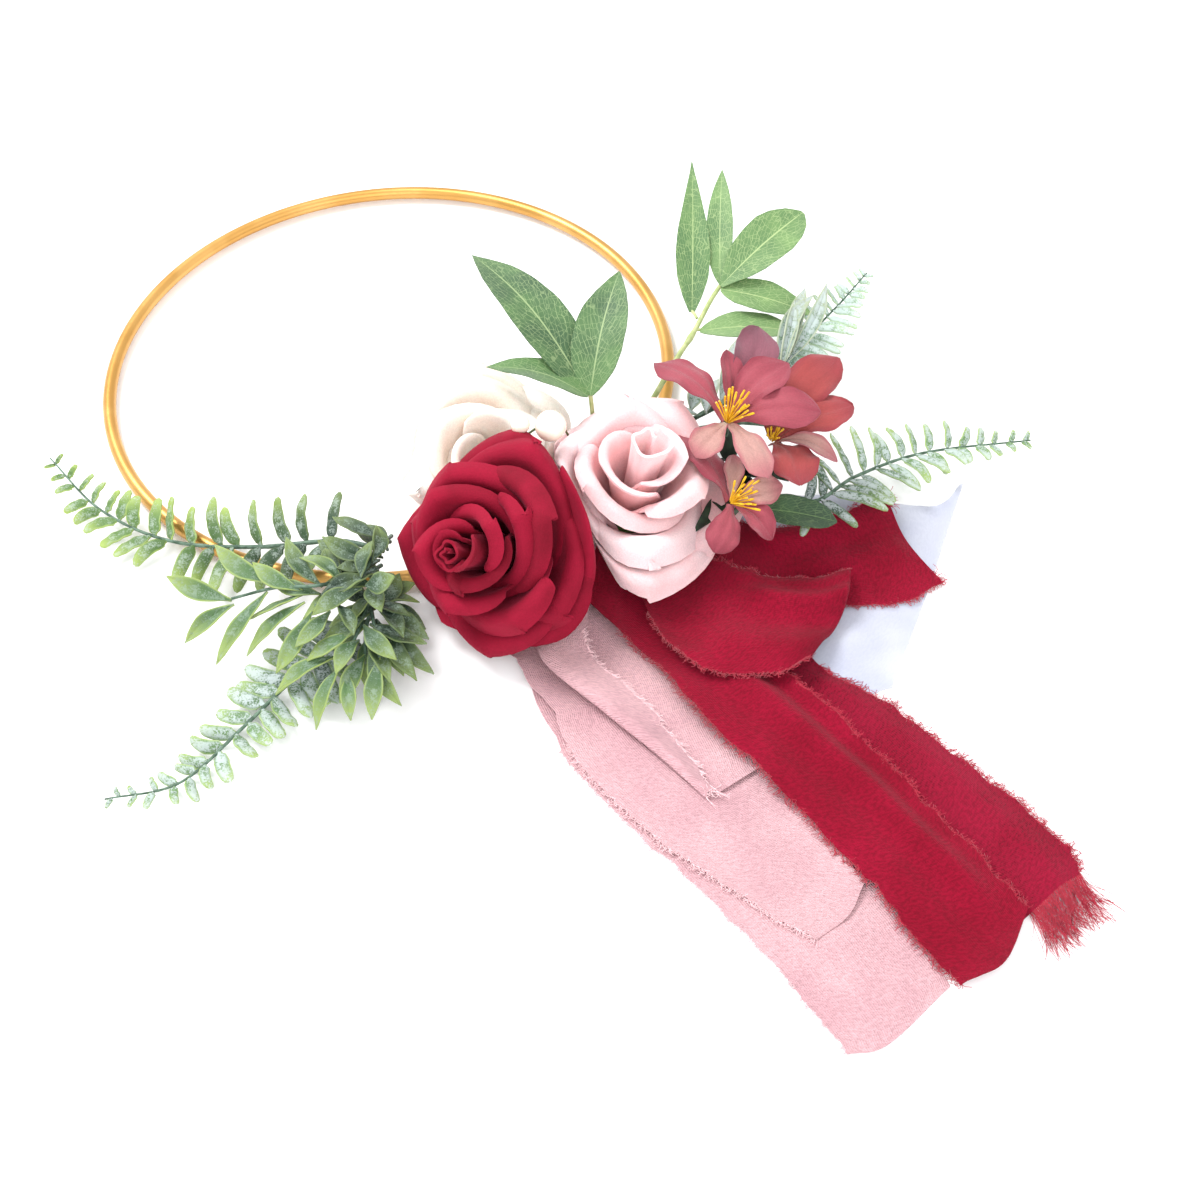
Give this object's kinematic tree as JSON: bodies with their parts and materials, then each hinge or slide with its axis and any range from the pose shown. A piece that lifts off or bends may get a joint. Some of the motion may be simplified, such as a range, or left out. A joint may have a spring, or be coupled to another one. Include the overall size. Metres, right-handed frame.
{
  "type": "floral hoop door wreath",
  "caption": "Metal hoop door wreath with foam roses, fabric blossoms, frosted fern and leaf picks, pearls and frayed ribbon tails bound to its lower side; lies flat or hangs by its tube.",
  "frame": {"origin": "middle of the bounding box in plan, on the surface that the wreath lies on", "axes": "+Z towards the room (the front of the wreath, up as it lies), +Y towards the top of the hoop as it hangs, +X to the right as seen from the front"},
  "size_m": [0.4176, 0.465, 0.0778],
  "materials": {
    "gold": "satin gold",
    "stem_green": "matte",
    "tape_green": "crepe tape, matte",
    "foam_burgundy": "foam, matte with a fine grain",
    "foam_pink": "foam, matte with a fine grain",
    "foam_ivory": "foam, matte with a fine grain",
    "calyx_green": "matte",
    "blossom_fabric": "printed fabric, matte",
    "stamen_yellow": "matte",
    "pearl": "pearl lustre",
    "wire": "plastic-coated wire",
    "leaf_fabric": "printed fabric, matte",
    "frosted_plastic": "moulded, frosted",
    "ribbon_burgundy": "crepe chiffon, frayed edges",
    "ribbon_pink": "crepe, frayed edges",
    "ribbon_white": "sheer chiffon"
  },
  "bodies": {
    "hoop": {"blossom_back_petals": "blossom_fabric", "blossom_back_stamens": "stamen_yellow", "blossom_back_stem": "stem_green", "blossom_front_petals": "blossom_fabric", "blossom_front_stamens": "stamen_yellow", "blossom_front_stem": "stem_green", "blossom_low_petals": "blossom_fabric", "blossom_low_stamens": "stamen_yellow", "blossom_low_stem": "stem_green", "hoop_ring": "gold", "ribbon_knot": "ribbon_burgundy", "rose_burgundy_calyx": "calyx_green", "rose_burgundy_heart": "foam_burgundy", "rose_burgundy_inner_petals": "foam_burgundy", "rose_burgundy_middle_petals": "foam_burgundy", "rose_burgundy_outer_petals": "foam_burgundy", "rose_burgundy_wire": "wire", "rose_ivory_calyx": "calyx_green", "rose_ivory_heart": "foam_ivory", "rose_ivory_inner_petals": "foam_ivory", "rose_ivory_middle_petals": "foam_ivory", "rose_ivory_outer_petals": "foam_ivory", "rose_ivory_wire": "wire", "rose_pink_calyx": "calyx_green", "rose_pink_heart": "foam_pink", "rose_pink_inner_petals": "foam_pink", "rose_pink_middle_petals": "foam_pink", "rose_pink_outer_petals": "foam_pink", "rose_pink_wire": "wire", "serrated_leaf": "leaf_fabric", "stem_bundle_left": "stem_green", "stem_bundle_right": "stem_green", "tape_wrap_left": "tape_green", "tape_wrap_right": "tape_green"},
    "fern_left_upper": {"fern_left_upper": "frosted_plastic"},
    "fern_left_lower": {"fern_left_lower": "frosted_plastic"},
    "fern_right": {"fern_right": "frosted_plastic"},
    "fern_top": {"fern_top": "frosted_plastic"},
    "left_sprays": {"leaf_spray_left": "frosted_plastic", "leaf_spray_high": "frosted_plastic"},
    "low_spray": {"leaf_spray_low": "frosted_plastic"},
    "right_spray": {"leaf_spray_right": "frosted_plastic"},
    "leaf_trio": {"leaf_trio": "leaf_fabric"},
    "upper_spray": {"spray_upper_stem": "stem_green", "spray_upper_leaf_1": "leaf_fabric", "spray_upper_leaf_2": "leaf_fabric", "spray_upper_leaf_3": "leaf_fabric", "spray_upper_leaf_4": "leaf_fabric", "spray_upper_leaf_5": "leaf_fabric"},
    "pearl_pick": {"pearl_wire": "wire", "pearl_large": "pearl", "pearl_small": "pearl"},
    "white_tail": {"ribbon_white": "ribbon_white"},
    "pink_long_tail": {"ribbon_pink_long": "ribbon_pink"},
    "pink_middle_tail": {"ribbon_pink_middle": "ribbon_pink"},
    "pink_fold": {"ribbon_pink_fold": "ribbon_pink"},
    "burgundy_lower_tail": {"ribbon_burgundy_lower": "ribbon_burgundy"},
    "burgundy_upper_tail": {"ribbon_burgundy_upper": "ribbon_burgundy"},
    "burgundy_short_tail": {"ribbon_burgundy_short": "ribbon_burgundy"},
    "burgundy_loop": {"ribbon_burgundy_loop": "ribbon_burgundy"}
  },
  "joints": [
    {"name": "fern_left_upper_spread", "type": "hinge", "parent": "hoop", "child": "fern_left_upper", "pos_m": [-0.06175, -0.01457, 0.017], "axis": [0, 0, 1], "range_deg": [-5, 8]},
    {"name": "fern_left_lower_spread", "type": "hinge", "parent": "hoop", "child": "fern_left_lower", "pos_m": [-0.06275, -0.02457, 0.009], "axis": [0, 0, 1], "range_deg": [-8, 8]},
    {"name": "fern_right_spread", "type": "hinge", "parent": "hoop", "child": "fern_right", "pos_m": [0.05975, 0.03743, 0.011], "axis": [0, 0, 1], "range_deg": [-6, 6]},
    {"name": "fern_top_spread", "type": "hinge", "parent": "hoop", "child": "fern_top", "pos_m": [0.05975, 0.05143, 0.014], "axis": [0, 0, 1], "range_deg": [-6, 6]},
    {"name": "left_sprays_lift", "type": "hinge", "parent": "hoop", "child": "left_sprays", "pos_m": [-0.06275, -0.02057, 0.015], "axis": [0, 1, 0], "range_deg": [0, 8]},
    {"name": "low_spray_lift", "type": "hinge", "parent": "hoop", "child": "low_spray", "pos_m": [-0.06175, -0.02757, 0.012], "axis": [-0.9684, 0.2496, 0], "range_deg": [0, 10]},
    {"name": "right_spray_spread", "type": "hinge", "parent": "hoop", "child": "right_spray", "pos_m": [0.05375, 0.04943, 0.013], "axis": [0, 0, 1], "range_deg": [0, 5]},
    {"name": "leaf_trio_bend", "type": "hinge", "parent": "hoop", "child": "leaf_trio", "pos_m": [0.02425, 0.02943, 0.0139], "axis": [0.9536, 0.3011, 0], "range_deg": [-8, 3]},
    {"name": "upper_spray_spread", "type": "hinge", "parent": "hoop", "child": "upper_spray", "pos_m": [0.04425, 0.05043, 0.014], "axis": [0, 0, 1], "range_deg": [-3, 12]},
    {"name": "pearl_pick_turn", "type": "hinge", "parent": "hoop", "child": "pearl_pick", "pos_m": [0.01725, 0.01843, 0.0132], "axis": [0, 0, 1], "range_deg": [-8, 8]},
    {"name": "white_tail_swing", "type": "hinge", "parent": "hoop", "child": "white_tail", "pos_m": [0.0313, 0.00857, 0], "axis": [0, 0, 1], "range_deg": [-10, 10]},
    {"name": "pink_long_tail_swing", "type": "hinge", "parent": "hoop", "child": "pink_long_tail", "pos_m": [0.0313, 0.00857, 0], "axis": [0, 0, 1], "range_deg": [-10, 10]},
    {"name": "pink_middle_tail_swing", "type": "hinge", "parent": "hoop", "child": "pink_middle_tail", "pos_m": [0.0313, 0.00857, 0], "axis": [0, 0, 1], "range_deg": [-10, 10]},
    {"name": "pink_fold_swing", "type": "hinge", "parent": "hoop", "child": "pink_fold", "pos_m": [0.0313, 0.00857, 0], "axis": [0, 0, 1], "range_deg": [-10, 10]},
    {"name": "burgundy_lower_tail_swing", "type": "hinge", "parent": "hoop", "child": "burgundy_lower_tail", "pos_m": [0.0313, 0.00857, 0], "axis": [0, 0, 1], "range_deg": [-10, 10]},
    {"name": "burgundy_upper_tail_swing", "type": "hinge", "parent": "hoop", "child": "burgundy_upper_tail", "pos_m": [0.0313, 0.00857, 0], "axis": [0, 0, 1], "range_deg": [-10, 10]},
    {"name": "burgundy_short_tail_swing", "type": "hinge", "parent": "hoop", "child": "burgundy_short_tail", "pos_m": [0.0313, 0.00857, 0], "axis": [0, 0, 1], "range_deg": [-10, 10]},
    {"name": "burgundy_loop_swing", "type": "hinge", "parent": "hoop", "child": "burgundy_loop", "pos_m": [0.0313, 0.00857, 0], "axis": [0, 0, 1], "range_deg": [-8, 8]}
  ]
}
